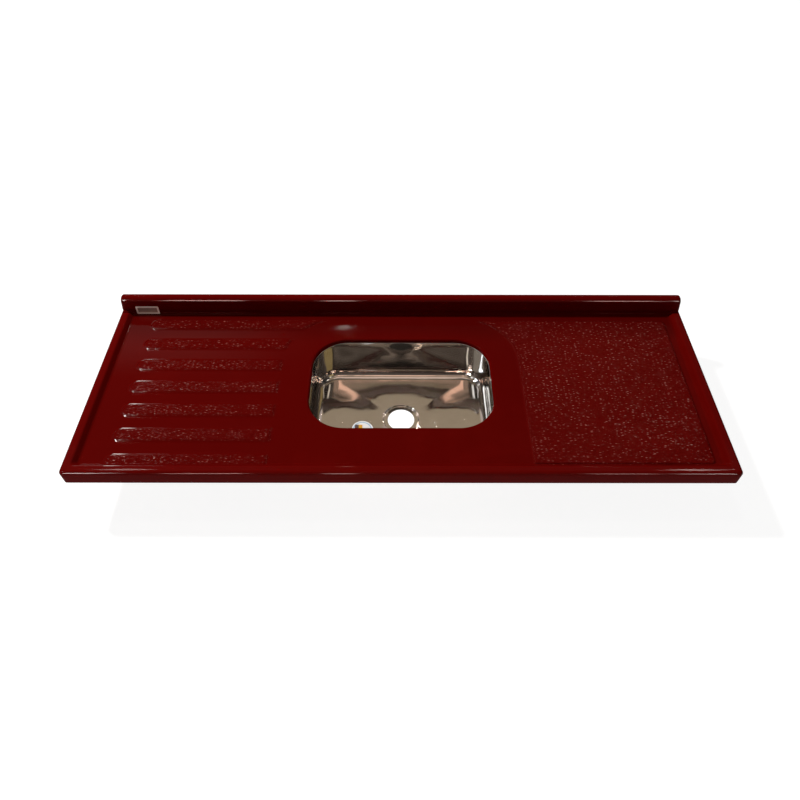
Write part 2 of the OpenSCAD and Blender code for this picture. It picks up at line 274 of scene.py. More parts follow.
def compass(finish, to_right, behind, up):
    """Azimuth and elevation of a direction, in degrees. The azimuth runs from -90 to 270, so
    that no window in front of the sink is cut in two."""
    azimuth = finish.math("DEGREES", finish.math("ARCTAN2", to_right, behind))
    on_the_left = azimuth.ramp(-90.02, -90.0, 1.0, 0.0)
    azimuth = (azimuth + 360.0) * on_the_left + azimuth * (1 - on_the_left)
    return azimuth, finish.math("DEGREES", finish.math("ARCSINE", up))


def studio_world():
    world = bpy.data.worlds.new("studio")
    bpy.context.scene.world = world
    finish = Finish(world)
    way = finish.node("ShaderNodeTexCoord", output="Generated")
    to_right, behind, up = finish.axes(way)
    azimuth, elevation = compass(finish, to_right, behind, up)

    patchy = finish.grain(5.0, 3.0, 0.6, where=way).ramp(0.35, 0.65)
    walls = finish.blend(patchy, paint(70, 60, 54), paint(118, 108, 102))
    room = finish.blend(behind.ramp(-0.6, 0.0), walls, paint(44, 42, 42))
    ceiling = finish.blend(patchy, paint(140, 124, 106), paint(178, 161, 143))
    ceiling = finish.blend(behind.ramp(0.0, 0.25), ceiling, paint(70, 62, 54))
    room = finish.blend(elevation.ramp(56, 63), room, ceiling)
    room = finish.blend(elevation.ramp(77, 82), room, paint(255, 228, 214))
    for left_edge, right_edge, sill, top, soft, tone, strength in windows:
        pane = azimuth.between(left_edge, right_edge, soft) * elevation.between(sill, top, soft)
        bright = [v * strength for v in paint(*tone)[:3]] + [1.0]
        room = finish.blend(pane, room, bright)
    room = finish.blend(elevation.ramp(1, 7), paint(96, 92, 90), room)
    backdrop = finish.node("ShaderNodeBackground", inputs={"Color": room, "Strength": 1.0})
    ambient = finish.node("ShaderNodeBackground",
                          inputs={"Color": paint(255, 252, 248), "Strength": ambient_light})
    mixed = finish.node("ShaderNodeMixShader",
                        inputs={0: seen_directly(finish), 1: ambient, 2: backdrop})
    white = finish.node("ShaderNodeBackground",
                        inputs={"Color": paint(255, 255, 255), "Strength": 1.0})
    by_camera = finish.node("ShaderNodeLightPath", output="Is Camera Ray")
    mixed = finish.node("ShaderNodeMixShader", inputs={0: by_camera, 1: mixed, 2: white})
    finish.node("ShaderNodeOutputWorld", inputs={"Surface": mixed})


def lamp(name, place, target, size, watts):
    """A rectangular lamp that lights the sink, but is itself neither seen nor mirrored."""
    light = bpy.data.lights.new(name, "AREA")
    light.shape = "RECTANGLE"
    light.size, light.size_y = size
    light.energy = watts
    light.color = (1.0, 0.97, 0.94)
    piece = bpy.data.objects.new(name, light)
    piece.location = place
    piece.rotation_euler = (Vector(target) - Vector(place)).to_track_quat("-Z", "Y").to_euler()
    piece.visible_camera = False
    piece.visible_glossy = False
    bpy.context.scene.collection.objects.link(piece)


studio_world()
lamp("key", (-2.6, 1.35, 3.9), (0, 0, 0.15), (0.4, 0.4), 222)
lamp("overhead", (-0.38, 0.15, 3.3), (-0.38, 0.15, 0.15), (0.25, 0.25), 6)
lamp("skirt_fill", (-0.2, -1.6, 0.07), (-0.1, -0.27, 0.14), (2.4, 0.06), 5)


# Worktop. One casting of filled polyester resin with a deep red gelcoat face, made face down in
# a mould: deck, raised rims, backsplash, drainer pads and work panel are all one piece. It rests
# on a cabinet with the lower edge of its skirt.
low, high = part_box("worktop")
left, right, front, wall = low.x, high.x, low.y, high.y
skirt_z, splash_z = low.z, high.z
wet_z = splash_z - 52 * MM
under_z = wet_z - 12 * MM
skirt_t = 16 * MM

rim_rise, rim_w, rim_edge_r, rim_shoulder_r, rim_foot_r = (v * MM for v in (12, 31, 8, 7, 8))
rim_slope = math.radians(50)
splash_t, cove_r, splash_end_r, splash_lean = (v * MM for v in (28, 7, 8, 6))
roll_r = splash_t / 2
corner_r = 9 * MM

wet_w, wet_back, wet_r, wet_edge = (v * MM for v in (590, 50, 150, 14))
pad_n = 7
pad_w, pad_pitch, pad_rise, pad_shoulder = (v * MM for v in (44, 73, 3, 9))
pad_first, pad_inset = 40 * MM, 83 * MM
panel_rise, panel_shoulder, panel_r = (v * MM for v in (3.5, 6, 14))
panel_side, panel_front, panel_back = (v * MM for v in (46, 30, 55))

# The hammered dents: size of a cell and depth, and in shares the valleys' width, how much lower
# a cell is at its edge, and the mean height
hammer_cell, hammer_depth = 9 * MM, 0.3 * MM
hammer_valley, hammer_crown, hammer_mean = 0.75, 0.35, 0.6

bowl_low, bowl_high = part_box("bowl")
bowl_y = (bowl_low.y + bowl_high.y) / 2
bowl_w, bowl_d, overhang, lip_r = (v * MM for v in (460, 300, 7, 5))
opening_half_w, opening_half_d, opening_r = bowl_w / 2 - overhang, bowl_d / 2 - overhang, 88 * MM


def arc(centre, radius, start, end, steps):
    """Points of a round stretch, from one angle to another in degrees."""
    angles = [math.radians(start + (end - start) * i / steps) for i in range(steps + 1)]
    return [(centre[0] + radius * math.cos(a), centre[1] + radius * math.sin(a)) for a in angles]


def smooth(t):
    """Eases from 0 to 1 while t does."""
    t = np.clip(t, 0, 1)
    return t * t * (3 - 2 * t)


def rim_points():
    """Height of the rim over the deck against the distance from the outer edge."""
    drop = rim_rise - rim_shoulder_r * (1 - math.cos(rim_slope))
    shoulder = rim_w - drop / math.tan(rim_slope) - rim_shoulder_r * math.sin(rim_slope)
    foot = rim_w + rim_foot_r * math.tan(rim_slope / 2)
    slope = math.degrees(rim_slope)
    return (arc((rim_edge_r, rim_rise - rim_edge_r), rim_edge_r, 180, 90, 7)
            + arc((shoulder, rim_rise - rim_shoulder_r), rim_shoulder_r, 90, 90 - slope, 5)
            + arc((foot, rim_foot_r), rim_foot_r, -90 - slope, -90, 5))


rim_line = np.array(rim_points())


def rim_height(distance):
    return np.interp(distance, rim_line[:, 0], rim_line[:, 1])


def spaced(start, end, step):
    """Places from start to end, evenly spaced and at most a step apart."""
    return list(np.linspace(start, end, max(2, math.ceil(abs(end - start) / step) + 1)))


def along_columns():
    """Places of the grid's columns: fine over the pads and the panel, wider between them."""
    fine, middling, wide = 2.4 * MM, 4 * MM, 6 * MM
    rim = list(rim_line[:, 0])
    pads, panel = left + pad_inset - 2 * MM, right - panel_side + 3 * MM
    curve_start, curve_end = wet_w / 2 - wet_r - 4 * MM, wet_w / 2 - 6 * MM
    beside_rim = spaced(rim[-1] + 5 * MM, pads - left, wide)[:-1]
    xs = [left + d for d in rim + beside_rim]
    xs += spaced(pads, -curve_end, fine)[:-1]
    xs += spaced(-curve_end, -curve_start, middling)[:-1]
    xs += spaced(-curve_start, curve_start, wide)[:-1]
    xs += spaced(curve_start, curve_end, 3 * MM)[:-1]
    xs += spaced(curve_end, panel, fine)
    xs += [right - d for d in reversed(rim)]
    return np.array(xs)


def across_rows():
    """The rows as (y, z, normal y, normal z), from the front skirt up, over and down the back."""
    fine = 2.4 * MM
    rows = [(front, skirt_z, 0, 0)]
    rows += [(front + d, wet_z, 0, 1) for d, _ in rim_line]
    cove = (wall - splash_t - cove_r, wet_z + cove_r)
    deck = spaced(front + rim_line[-1, 0] + fine, cove[0], fine)[:-1]
    rows += [(y, wet_z, 0, 1) for y in deck]
    for y, z in arc(cove, cove_r, -90, 0, 7):
        rows.append((y, z, (cove[0] - y) / cove_r, (cove[1] - z) / cove_r))
    face_top = splash_z - roll_r
    face = spaced(wet_z + cove_r, face_top, 6 * MM)[1:-1]
    rows += [(wall - splash_t, z, -1, 0) for z in face]
    roll = (wall - roll_r, face_top)
    for y, z in arc(roll, roll_r, 180, 0, 20):
        rows.append((y, z, min(0, (y - roll[0]) / roll_r), (z - roll[1]) / roll_r))
    rows += [(wall, z, 0, 0) for z in reversed(face)]
    rows += [(wall, wet_z + cove_r, 0, 0), (wall, skirt_z, 0, 0)]
    return np.array(rows)


def outside_wet(x, y):
    """Distance from the edge of the smooth wet area, above 0 outside it."""
    qx = np.abs(x) - (wet_w / 2 - wet_r)
    qy = y - (wall - wet_back - wet_r)
    corner = np.hypot(np.maximum(qx, 0), np.maximum(qy, 0))
    return corner + np.minimum(np.maximum(qx, qy), 0) - wet_r


def hammered_cells(x, y):
    """Low round blisters in a random net of valleys, from 0 to 1."""
    flat = [noise.voronoi(Vector((a / hammer_cell, b / hammer_cell, 0.5)))[0] for a, b in
            zip(x.ravel().tolist(), y.ravel().tolist())]
    first = np.array([d[0] for d in flat]).reshape(x.shape)
    second = np.array([d[1] for d in flat]).reshape(x.shape)
    return smooth((second - first) / hammer_valley) * (1 - hammer_crown * first)


def raised_parts(x, y):
    """Height of the pads and the panel over the deck, how hammered each place is, and the ends
    of the pads."""
    wet = outside_wet(x, y)
    height, texture, ends = np.zeros_like(x), np.zeros_like(x), np.zeros_like(x)
    start = left + pad_inset + pad_w / 2
    for k in range(pad_n):
        dy = y - (front + pad_first + k * pad_pitch)
        dx = np.minimum(x - start, 0)
        inside = pad_w / 2 - np.hypot(dx, dy)
        rise = pad_rise * smooth(inside / pad_shoulder) * smooth(wet / wet_edge) * (x < 0)
        height = np.maximum(height, np.where(inside > 0, rise, 0))
        # The hammering fades in past the shoulder, the pad's round end and the wet area's edge
        hammered = smooth((inside - 3 * MM) / (5 * MM)) * smooth((x - start + 14 * MM) / (16 * MM))
        hammered = hammered * smooth(wet / (6 * MM)) * (x < 0)
        texture = np.maximum(texture, hammered)
        ends = np.maximum(ends, smooth((start + 35 * MM - x) / (25 * MM)) * (inside > 0))
    to_end = np.minimum(right - panel_side - x, panel_r) - panel_r
    to_edge = np.minimum(wall - panel_back - y, y - (front + panel_front))
    inside = panel_r - np.hypot(to_end, np.minimum(to_edge, panel_r) - panel_r)
    inside = np.minimum(inside, np.where(x > 0, wet, -1))
    height = np.maximum(height, panel_rise * smooth(inside / panel_shoulder))
    texture = np.maximum(texture, smooth(inside / (3 * MM)) * (inside > 0))
    return height, texture, ends


def rounded_plan(x, y):
    """Rounds the worktop's two front corners in plan, ring by ring from the edge inwards."""
    for side, edge in ((1, left), (-1, right)):
        across, deep = (x - edge) * side, y - front
        ring = np.minimum(across, deep)
        reach = np.maximum(across, deep) - ring
        near = (reach < corner_r) & (ring < rim_line[-1, 0] + 5 * MM)
        turn = np.radians(45) * (1 - np.clip(reach / corner_r, 0, 1))
        off = ring + corner_r * (1 - np.cos(turn))
        far = corner_r * (1 - np.sin(turn))
        along = ring + np.where(reach < corner_r, far, reach)
        on_side = across <= deep
        new_across = np.where(on_side, off, along)
        new_deep = np.where(on_side, along, off)
        x = np.where(near, edge + side * new_across, x)
        y = np.where(near, front + new_deep, y)
    return x, y


def worktop_grid():
    """Corners of the moulded top face as a grid of columns and rows, with its two masks."""
    cove_blend, cove_fill, lean_reach = 6 * MM, 1.5 * MM, 60 * MM
    columns, rows = along_columns(), across_rows()
    x, y = np.meshgrid(columns, rows[:, 0], indexing="ij")
    z = np.broadcast_to(rows[:, 1], x.shape).copy()
    from_side = np.minimum(x - left, right - x)
    from_front = y - front
    deck = (rows[:, 3] == 1) & (rows[:, 1] == wet_z)
    cove = (rows[:, 1] > wet_z) & (rows[:, 1] < wet_z + cove_r) & (rows[:, 3] > 0)
    back = ~deck & (rows[:, 1] > skirt_z)

    # The ends of the cove, the face and the roll are rounded off
    edge = np.clip(splash_end_r - from_side, 0, None)
    inset = splash_end_r - np.sqrt(splash_end_r**2 - edge**2)
    y = y - np.where(back, rows[:, 2] * inset, 0)
    z = z - np.where(back, rows[:, 3] * inset, 0)

    # The deck is as high as the rim, a pad or the panel is there, with the hammering on top
    rim = rim_height(np.where(deck, np.minimum(from_side, from_front), from_side))
    height, texture, ends = raised_parts(x, y)
    cells = hammered_cells(x[:, deck], y[:, deck])
    relief = np.zeros_like(x)
    relief[:, deck] = (cells - hammer_mean) * hammer_depth
    height = height + relief * texture
    texture = np.where(deck, texture, 0) * (rim < 0.5 * MM)
    ends = np.where(deck, ends, 0)
    z = np.where(deck, wet_z + np.maximum(rim, height), z)

    # Where a side rim runs into the cove, the crease between them is filled
    both = np.minimum(rim, z - wet_z)
    blend = np.clip(1 - np.abs(rim - (z - wet_z)) / cove_blend, 0, 1)
    fill = blend**2 * cove_fill * np.clip(both / cove_blend, 0, 1)
    z = np.where(cove, np.maximum(z, wet_z + rim) + fill, z)

    # The ends of the backsplash lean inwards towards its top
    lean = splash_lean * np.clip((z - wet_z - rim_rise) / (splash_z - wet_z - rim_rise), 0, 1)
    lean = lean * (1 - smooth(from_side / lean_reach)) * back
    x = x + np.where(x < 0, lean, -lean)
    x, y = rounded_plan(x, y)
    return columns, rows, np.stack([x, y, z], -1), texture, ends


def nearest_on_opening(x, y, extra):
    """Closest point of the opening's outline, or of one that lies further out."""
    reach_x, reach_y = opening_half_w - opening_r, opening_half_d - opening_r
    cx = max(-reach_x, min(reach_x, x))
    cy = max(-reach_y, min(reach_y, y - bowl_y))
    away = Vector((x - cx, y - bowl_y - cy)).normalized() * (opening_r + extra)
    return cx + away.x, bowl_y + cy + away.y


def join_rings(faces, first, second):
    """Adds the faces between two closed rings of corners, and gives back the second ring."""
    for k in range(len(first)):
        n = (k + 1) % len(first)
        faces.append((first[k], first[n], second[n], second[k]))
    return second


class Casting:
    """The worktop's mesh as it grows: corners with their masks, and faces."""

    def __init__(self, grid, hammered, ends):
        self.columns, self.rows = grid.shape[:2]
        self.corners = [tuple(p) for p in grid.reshape(-1, 3).tolist()]
        self.masks = {"hammered": hammered.reshape(-1).tolist(),
                      "pad_ends": ends.reshape(-1).tolist(), "raw": [0.0] * len(self.corners)}
        self.faces = []

    def at(self, i, j):
        """The corner in this column and row of the moulded face."""
        return i * self.rows + j

    def add(self, point, raw=0.0):
        self.corners.append(tuple(point))
        for name, values in self.masks.items():
            values.append(raw if name == "raw" else 0.0)
        return len(self.corners) - 1

    def join(self, ring, points, raw=0.0):
        """Adds a ring of points and the faces between it and the ring before it."""
        return join_rings(self.faces, ring, [self.add(p, raw) for p in points])

    def sew(self, outer, inner):
        """Adds the faces between two open lines that have different numbers of corners."""
        a = b = 0
        while a < len(outer) - 1 or b < len(inner) - 1:
            step_outer = (a + 1) / (len(outer) - 1) if a < len(outer) - 1 else 2
            step_inner = (b + 1) / (len(inner) - 1) if b < len(inner) - 1 else 2
            if step_outer <= step_inner:
                self.faces.append((outer[a], outer[a + 1], inner[b]))
                a += 1
            else:
                self.faces.append((outer[a], inner[b + 1], inner[b]))
                b += 1


def opening_cells(columns, rows):
    """The columns and rows between which the opening and its flare lie."""
    margin = lip_r + 9 * MM
    half_w, half_d = opening_half_w + margin, opening_half_d + margin
    i0, i1 = np.searchsorted(columns, -half_w) - 1, np.searchsorted(columns, half_w)
    deck_rows = np.nonzero((rows[:, 3] == 1) & (rows[:, 1] == wet_z))[0]
    deck_y = rows[deck_rows, 0]
    j0 = deck_rows[np.searchsorted(deck_y, bowl_y - half_d) - 1]
    j1 = deck_rows[np.searchsorted(deck_y, bowl_y + half_d)]
    return i0, i1, j0, j1


def flared_edge(casting, ring, plan):
    """From the deck over the flare and down the edge of the opening."""
    outline = [nearest_on_opening(x, y, lip_r) for x, y in plan]
    for share in (0.3, 0.6, 0.85, 1.0):
        points = [(x + (u - x) * share, y + (v - y) * share, wet_z)
                  for (x, y), (u, v) in zip(plan, outline)]
        ring = casting.join(ring, points)
    for across, height in arc((lip_r, -lip_r), lip_r, 90, 180, 6)[1:]:
        points = [(*nearest_on_opening(x, y, across), wet_z + height) for x, y in plan]
        ring = casting.join(ring, points)
    edge = [nearest_on_opening(x, y, 0) for x, y in plan]
    ring = casting.join(ring, [(x, y, under_z + 2 * MM) for x, y in edge])
    return casting.join(ring, [(x, y, under_z) for x, y in edge], raw=1.0)


def underside(casting, ring, plan):
    """Under the deck, out to the inner face of the skirt and down to its lower edge. It is bare
    grey resin, as the gelcoat covers only the face that lay against the mould."""
    ring = casting.join(ring, [(x, y, under_z) for x, y in plan], raw=1.0)
    xs, ys = zip(*plan)
    skirt_x = np.interp(xs, (min(xs), max(xs)), (left + skirt_t, right - skirt_t)).tolist()
    skirt_y = np.interp(ys, (min(ys), max(ys)), (front + skirt_t, wall - skirt_t)).tolist()
    for z in (under_z, skirt_z):
        ring = casting.join(ring, [(x, y, z) for x, y in zip(skirt_x, skirt_y)], raw=1.0)
    return ring


def end_wall(casting, rows, i):
    """Down from the rim to the skirt's lower edge, and across the end of the backsplash. Gives
    back the line of corners along that lower edge."""
    edge = [casting.at(i, j) for j in range(casting.rows)]
    cove_top = int(np.nonzero((rows[:, 1] < wet_z + cove_r + 1e-6) & (rows[:, 2] < -0.99))[0][0])
    foot = edge[:1]
    for corner in edge[2:cove_top + 1]:
        x, y, _ = casting.corners[corner]
        foot.append(casting.add((x, y, skirt_z)))
    for j in range(1, cove_top):
        casting.faces.append((edge[j], edge[j + 1], foot[j], foot[j - 1]))
    casting.faces.append((edge[cove_top], edge[-2], edge[-1], foot[-1]))
    a, b = cove_top, casting.rows - 2
    while b - a > 2:
        casting.faces.append((edge[a], edge[a + 1], edge[b - 1], edge[b]))
        a, b = a + 1, b - 1
    casting.faces.append((edge[a], edge[a + 1], edge[b]))
    return foot + edge[-1:]


def worktop_mesh():
    """Corners, faces and masks of the casting."""
    columns, rows, grid, hammered, ends = worktop_grid()
    casting = Casting(grid, hammered, ends)
    at, last_column, last_row = casting.at, casting.columns - 1, casting.rows - 1
    i0, i1, j0, j1 = opening_cells(columns, rows)
    for i in range(last_column):
        for j in range(last_row):
            if not (i0 <= i < i1 and j0 <= j < j1):
                casting.faces.append((at(i, j), at(i + 1, j), at(i + 1, j + 1), at(i, j + 1)))

    # The cells left out give way to rings: to the opening, down its edge and out again below
    ring = ([at(i, j0) for i in range(i0, i1)] + [at(i1, j) for j in range(j0, j1)]
            + [at(i, j1) for i in range(i1, i0, -1)] + [at(i0, j) for j in range(j1, j0, -1)])
    plan = [casting.corners[v][:2] for v in ring]
    ring = flared_edge(casting, ring, plan)
    ring = underside(casting, ring, plan)

    # Side by side, the skirt's fine outer line is sewn to the last ring
    left_foot, right_foot = (end_wall(casting, rows, i) for i in (0, last_column))
    front_foot = [at(i, 0) for i in range(casting.columns)]
    wall_foot = [at(i, last_row) for i in range(casting.columns)]
    wide, deep = i1 - i0, j1 - j0
    ring = ring + ring[:1]
    casting.sew(front_foot, ring[:wide + 1])
    casting.sew(right_foot, ring[wide:wide + deep + 1])
    casting.sew(wall_foot[::-1], ring[wide + deep:2 * wide + deep + 1])
    casting.sew(left_foot[::-1], ring[2 * wide + deep:])
    return casting.corners, casting.faces, casting.masks


def shade(piece, sharp_over=35):
    """Turns all faces outwards and shades them smooth, with edges kept where they are sharp."""
    cleaned = bmesh.new()
    cleaned.from_mesh(piece.data)
    bmesh.ops.recalc_face_normals(cleaned, faces=cleaned.faces)
    cleaned.to_mesh(piece.data)
    cleaned.free()
    piece.data.shade_smooth()
    piece.data.set_sharp_from_angle(angle=math.radians(sharp_over))


bumps_per_metre = 150.0
bump_height = 1.7 * MM


def gelcoat_colour(finish, clouds, to_wall, above_deck):
    """Deep, slightly cloudy red, with painted shade that darkens the deck along the wall and
    painted light that lightens the backsplash.
    """
    flow = finish.grain(14.0, 3.0, 0.6, distortion=0.8)
    red = finish.blend(clouds, paint(78, 3, 2), paint(86, 4, 2))
    red = finish.blend((flow * clouds).ramp(0.2, 0.5, 0.0, 0.5), red, paint(92, 6, 4))
    # Painted shade: the deck is painted darker along the wall, where the backsplash shades it
    painted_wall_shade = to_wall.ramp(wall - 145 * MM, wall - 75 * MM)
    painted_wall_shade = painted_wall_shade * above_deck.ramp(wet_z + 1 * MM, wet_z + 6 * MM, 0.6, 0.0)
    red = finish.blend(painted_wall_shade, red, paint(64, 3, 2))
    # Painted light: the backsplash face and roll are painted lighter, to stand in for light on the
    # shaded face
    painted_splash_light = above_deck.ramp(wet_z + 6 * MM, wet_z + 20 * MM, 0.0, 0.6)
    painted_splash_light = painted_splash_light * above_deck.ramp(splash_z - 16 * MM, splash_z - 6 * MM, 1.0, 0.2)
    return finish.blend(painted_splash_light, red, paint(104, 6, 5))


def gelcoat_polish(finish, hammered, blister_glint, to_right, to_wall, above_deck):
    """How strongly each place mirrors the room: the roll of the backsplash, the crest of the
    rims, the rear left of the deck, the ends of the pads and the tops of the blisters."""
    facing = finish.axes(finish.node("ShaderNodeNewGeometry", output="Normal"))[2]
    roll = above_deck.ramp(splash_z - roll_r - 2 * MM, splash_z - roll_r, 0.0, 0.6)
    roll = roll * facing.between(0.42, 0.56, 0.04)
    crest = above_deck.ramp(wet_z + 6 * MM, wet_z + 8 * MM)
    crest = crest * facing.between(0.5, 0.66, 0.04).larger(0.1)
    crest = crest * to_wall.ramp(front + 55 * MM, front + 95 * MM, 0.5, 0.0)
    rear_left = to_right.ramp(left + 200 * MM, left + 550 * MM, 0.24, 0.0)
    rear_left = rear_left * to_wall.ramp(wall - 275 * MM, wall - 125 * MM)
    rear_left = rear_left * above_deck.ramp(wet_z + 0.5 * MM, wet_z + 2 * MM, 1.0, 0.0)
    ends = finish.mask("pad_ends") * facing.ramp(0.955, 0.975, 1.0, 0.0)
    blisters = hammered * (blister_glint * 0.7 + 0.03)
    return roll.larger(crest).larger(blisters).larger(rear_left).larger(ends)


def gelcoat_finish():
    """Red gelcoat with small blisters where it is hammered, their tops painted pale as painted
    glints, and bare grey resin below.
    """
    finish = Finish(bpy.data.materials.new("red_gelcoat"))
    hammered = finish.mask("hammered")
    clouds = finish.grain(2.2, 4.0, 0.55)
    to_right, to_wall, above_deck = finish.axes(finish.place())
    from_bump, bump_mark = (
        finish.node("ShaderNodeTexVoronoi", {"feature": "F1"}, {"Scale": bumps_per_metre}, output)
        for output in ("Distance", "Color"))
    bump_gloss = finish.axes(bump_mark)[0].ramp(0.25, 1.0)
    blister_glint = from_bump.ramp(0.14, 0.36, 1.0, 0.0) * bump_gloss

    resin = finish.blend(clouds, paint(176, 176, 178), paint(204, 203, 202))
    red = gelcoat_colour(finish, clouds, to_wall, above_deck)
    body = finish.blend(finish.mask("raw"), red, resin)
    # Painted glints: the blister tops are painted a pale pink, besides the real glints of the
    # glossy shader
    body = finish.blend(blister_glint * hammered * 0.6, body, paint(158, 88, 80))

    unevenness = finish.grain(60.0, 2.0, 0.5).ramp(0.3, 0.7, 0.45, 1.2)
    bumps = from_bump * from_bump * unevenness * bump_height
    pits = finish.grain(420.0, 1.0, 0.4) * (0.06 * MM)
    skin = finish.grain(70.0, 2.0) * (0.01 * MM)
    normal = finish.relief(skin + (pits - bumps) * hammered)
    rough = finish.grain(30.0, 4.0, 0.65).ramp(0.3, 0.75, 0.04, 0.07) + hammered * 0.03
    dull, glossy = (
        finish.shader(Base_Color=body, Roughness=rough, Normal=normal, Specular_IOR_Level=shine)
        for shine in (0.01, 0.5))
    polish = gelcoat_polish(finish, hammered, blister_glint, to_right, to_wall, above_deck)
    whole = finish.node("ShaderNodeMixShader", inputs={0: polish, 1: dull, 2: glossy})
    finish.node("ShaderNodeOutputMaterial", inputs={"Surface": whole})
    return finish.owner


gelcoat = gelcoat_finish()
corners, faces, masks = worktop_mesh()
worktop = new_piece("moulded_worktop", corners, faces, gelcoat)
for name, values in masks.items():
    worktop.data.attributes.new(name, "FLOAT", "POINT").data.foreach_set("value", values)
shade(worktop)
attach(worktop, "root")
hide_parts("worktop")


# Bowl. One sheet of stainless steel, deep-drawn and polished to a mirror inside, with a flange
# that is glued and clipped under the deck and a pressed seat for the waste in its floor.
sheet_t, seat_depth, fall_h, bowl_depth = (v * MM for v in (0.8, 4, 12, 124.5))
dish_start = 0.25
bowl_corner_r, mouth_r, foot_r, draft, flange_w = (v * MM for v in (63, 4, 25, 2, 20))
drain_r, seat_r, seat_edge_r = 35 * MM, 48.5 * MM, 2 * MM
floor_z = sheet_t + seat_depth + fall_h
flange_z = floor_z + bowl_depth
foot_in = draft + foot_r


def dish_drop(share):
    """Fall of the dished floor, from the foot of the walls (0) to the seat (1)."""
    return fall_h * share * (1 + dish_start * (1 - share))


def bowl_outline(extra):
    """Points round the bowl's mouth, moved outwards by extra, the same number each time."""
    radius = bowl_corner_r
    centre_x, centre_y = bowl_w / 2 - radius, bowl_d / 2 - radius
    points = []
    for k, (sx, sy) in enumerate(((1, 1), (-1, 1), (-1, -1), (1, -1))):
        points += [(sx * centre_x + a, sy * centre_y + b) for a, b in
                   arc((0, 0), radius + extra, 90 * k, 90 * k + 90, 20)]
        x, y = points[-1]
        lengthwise = k % 2 == 0
        span = 2 * (centre_x if lengthwise else centre_y)
        steps = round(span / (12 * MM))
        for s in range(1, steps):
            gone = span * s / steps
            points.append((x - sx * gone, y) if lengthwise else (x, y - sy * gone))
    return points


def bowl_mesh():
    """Two sheets of rings, inner and outer face, joined at the flange and the waste hole."""
    corners, faces = [], []
    inner_foot = bowl_outline(-foot_in)
    reach = [math.hypot(*p) for p in inner_foot]

    def ring(points, z):
        start = len(corners)
        corners.extend((x, bowl_y + y, z) for x, y in points)
        return range(start, len(corners))

    def circle(radius):
        return [(x / r * radius, y / r * radius) for (x, y), r in zip(inner_foot, reach)]

    def wall_rings(off):
        """From the flange over the mouth and down the drafted wall to its foot."""
        wall_h = bowl_depth - mouth_r - foot_r
        rings = [(flange_w, flange_z - off)]
        rings += arc((mouth_r, flange_z - mouth_r), mouth_r - off, 90, 180, 6)
        rings += [(off - draft * share, flange_z - mouth_r - share * wall_h)
                  for share in (0.25, 0.5, 0.75)]
        rings += arc((-foot_in, floor_z + foot_r), foot_r + off, 0, -90, 14)
        return [(bowl_outline(extra), z) for extra, z in rings]

    def floor_rings(off):
        """From the foot of the walls over the dished floor, down into the seat and to the hole."""
        rings = []
        for share in (0.12, 0.25, 0.4, 0.55, 0.7, 0.82, 0.92, 1.0):
            points = [(x + (u - x) * share, y + (v - y) * share)
                      for (x, y), (u, v) in zip(inner_foot, circle(seat_r))]
            rings.append((points, floor_z - off - dish_drop(share)))
        brink = arc((seat_r, floor_z - fall_h - seat_edge_r), seat_edge_r, 90, 180, 4)[1:]
        corner = arc((seat_r - 2 * seat_edge_r, sheet_t + seat_edge_r), seat_edge_r, 0, -90, 4)[1:]
        rings += [(circle(radius), z - off) for radius, z in brink + corner]
        rings += [(circle(radius), sheet_t - off) for radius in (seat_r - 3 * seat_edge_r, drain_r)]
        return rings

    sheets = []
    for off in (0, sheet_t):
        made = [ring(points, z) for points, z in wall_rings(off) + floor_rings(off)]
        for first, second in zip(made, made[1:]):
            join_rings(faces, first, second)
        sheets.append(made)
    join_rings(faces, sheets[0][0], sheets[1][0])
    join_rings(faces, sheets[0][-1], sheets[1][-1])
    return corners, faces


def bowl_finish():
    finish = Finish(bpy.data.materials.new("polished_steel"))
    cloudy = finish.grain(18.0, 3.0, 0.6)
    streak = finish.grain(240.0, 2.0, 0.7)
    tone = finish.blend(cloudy, paint(196, 190, 182), paint(214, 210, 204))
    ripple = finish.relief(finish.grain(22.0, 1.0, 0.4) * (0.5 * MM))
    return finish.surface(
        Base_Color=tone,
        Metallic=1.0,
        Roughness=(cloudy * 0.6 + streak * 0.4).ramp(0.3, 0.7, 0.05, 0.11),
        Normal=ripple,
    )


corners, faces = bowl_mesh()
bowl = new_piece("steel_bowl", corners, faces, bowl_finish())
shade(bowl, 50)
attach(bowl, "root")
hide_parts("bowl")


# Fixings. The bowl's flange is bedded in pale sealing compound and held by six cranked steel
# clips, each drawn up by a screw into a brass insert cast into the deck.
def sealing_finish():
    finish = Finish(bpy.data.materials.new("sealing_compound"))
    smear = finish.grain(60.0, 4.0, 0.6)
    tone = finish.blend(smear, paint(203, 201, 192), paint(219, 217, 209))
    return finish.surface(Base_Color=tone, Roughness=smear.ramp(0.3, 0.7, 0.5, 0.7),
                          Normal=finish.relief(smear * (0.12 * MM)))


def plated_finish():
    finish = Finish(bpy.data.materials.new("zinc_plate"))
    spangle = finish.node("ShaderNodeTexVoronoi", inputs={"Scale": 300.0}, output="Distance")
    cloudy = finish.grain(90.0, 4.0, 0.6)
    tone = finish.blend(cloudy, paint(150, 153, 157), paint(185, 187, 188))
    return finish.surface(Base_Color=tone, Metallic=1.0,
                          Roughness=(spangle * 0.3 + cloudy * 0.5).ramp(0.1, 0.6, 0.25, 0.45),
                          Normal=finish.relief(cloudy * (0.02 * MM)))


def brass_finish():
    finish = Finish(bpy.data.materials.new("insert_brass"))
    tarnish = finish.grain(120.0, 4.0, 0.6)
    tone = finish.blend(tarnish, paint(168, 132, 62), paint(205, 170, 96))
    return finish.surface(Base_Color=tone, Metallic=1.0,
                          Roughness=tarnish.ramp(0.3, 0.7, 0.25, 0.45))


def wear(node, finish):
    """Gives a CAD node its finish."""
    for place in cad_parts[node].material_slots:
        place.material = finish


wear("flange_seal", sealing_finish())
zinc = plated_finish()
wear("bowl_clips", zinc)
wear("clip_screws", zinc)
wear("screw_inserts", brass_finish())


